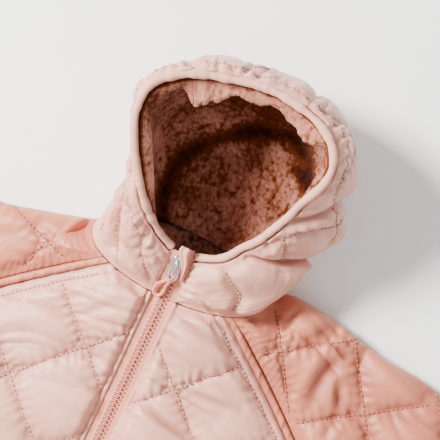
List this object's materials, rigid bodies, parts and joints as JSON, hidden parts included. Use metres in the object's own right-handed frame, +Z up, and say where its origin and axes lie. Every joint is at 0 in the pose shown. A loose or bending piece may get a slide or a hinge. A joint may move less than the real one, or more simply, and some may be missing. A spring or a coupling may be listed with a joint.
{
  "type": "hooded jacket",
  "caption": "Baby's quilted reversible jacket with raglan sleeves and a pile-lined hood standing open, zipped up and laid flat on its back.",
  "frame": {"origin": "on the surface the jacket lies on, straight below the front neck seam at the zip", "axes": "+Z up from the surface, +Y from the hem to the hood along the zip, +X towards the wearer's left sleeve"},
  "size_m": [0.7506, 0.4738, 0.1121],
  "materials": {
    "pale_shell": "pale pink quilted nylon with a soft sheen",
    "salmon_shell": "salmon quilted nylon with a soft sheen",
    "pile_lining": "brown-rose sherpa pile, matt",
    "zip_tape": "salmon woven tape",
    "zip_plastic": "salmon moulded plastic, satin",
    "slider_metal": "bright silver-coloured metal",
    "cord": "salmon braided cord"
  },
  "bodies": {
    "root": {"back_panel": "pale_shell", "front_left": "pale_shell", "front_right": "pale_shell", "sleeve_left": "salmon_shell", "sleeve_right": "salmon_shell", "raglan_piping_left": "salmon_shell", "raglan_piping_right": "salmon_shell", "hood_left": "pale_shell", "hood_centre": "pale_shell", "hood_right": "pale_shell", "hood_lining_left": "pile_lining", "hood_lining_centre": "pile_lining", "hood_lining_right": "pile_lining", "hood_binding": "pale_shell", "zip_tape_left": "zip_tape", "zip_tape_right": "zip_tape", "zip_chain": "zip_plastic", "zip_slider": "slider_metal", "zip_garage": "pale_shell", "pull_cord_left": "cord", "pull_cord_right": "cord", "pull_grip": "zip_plastic"}
  },
  "joints": []
}
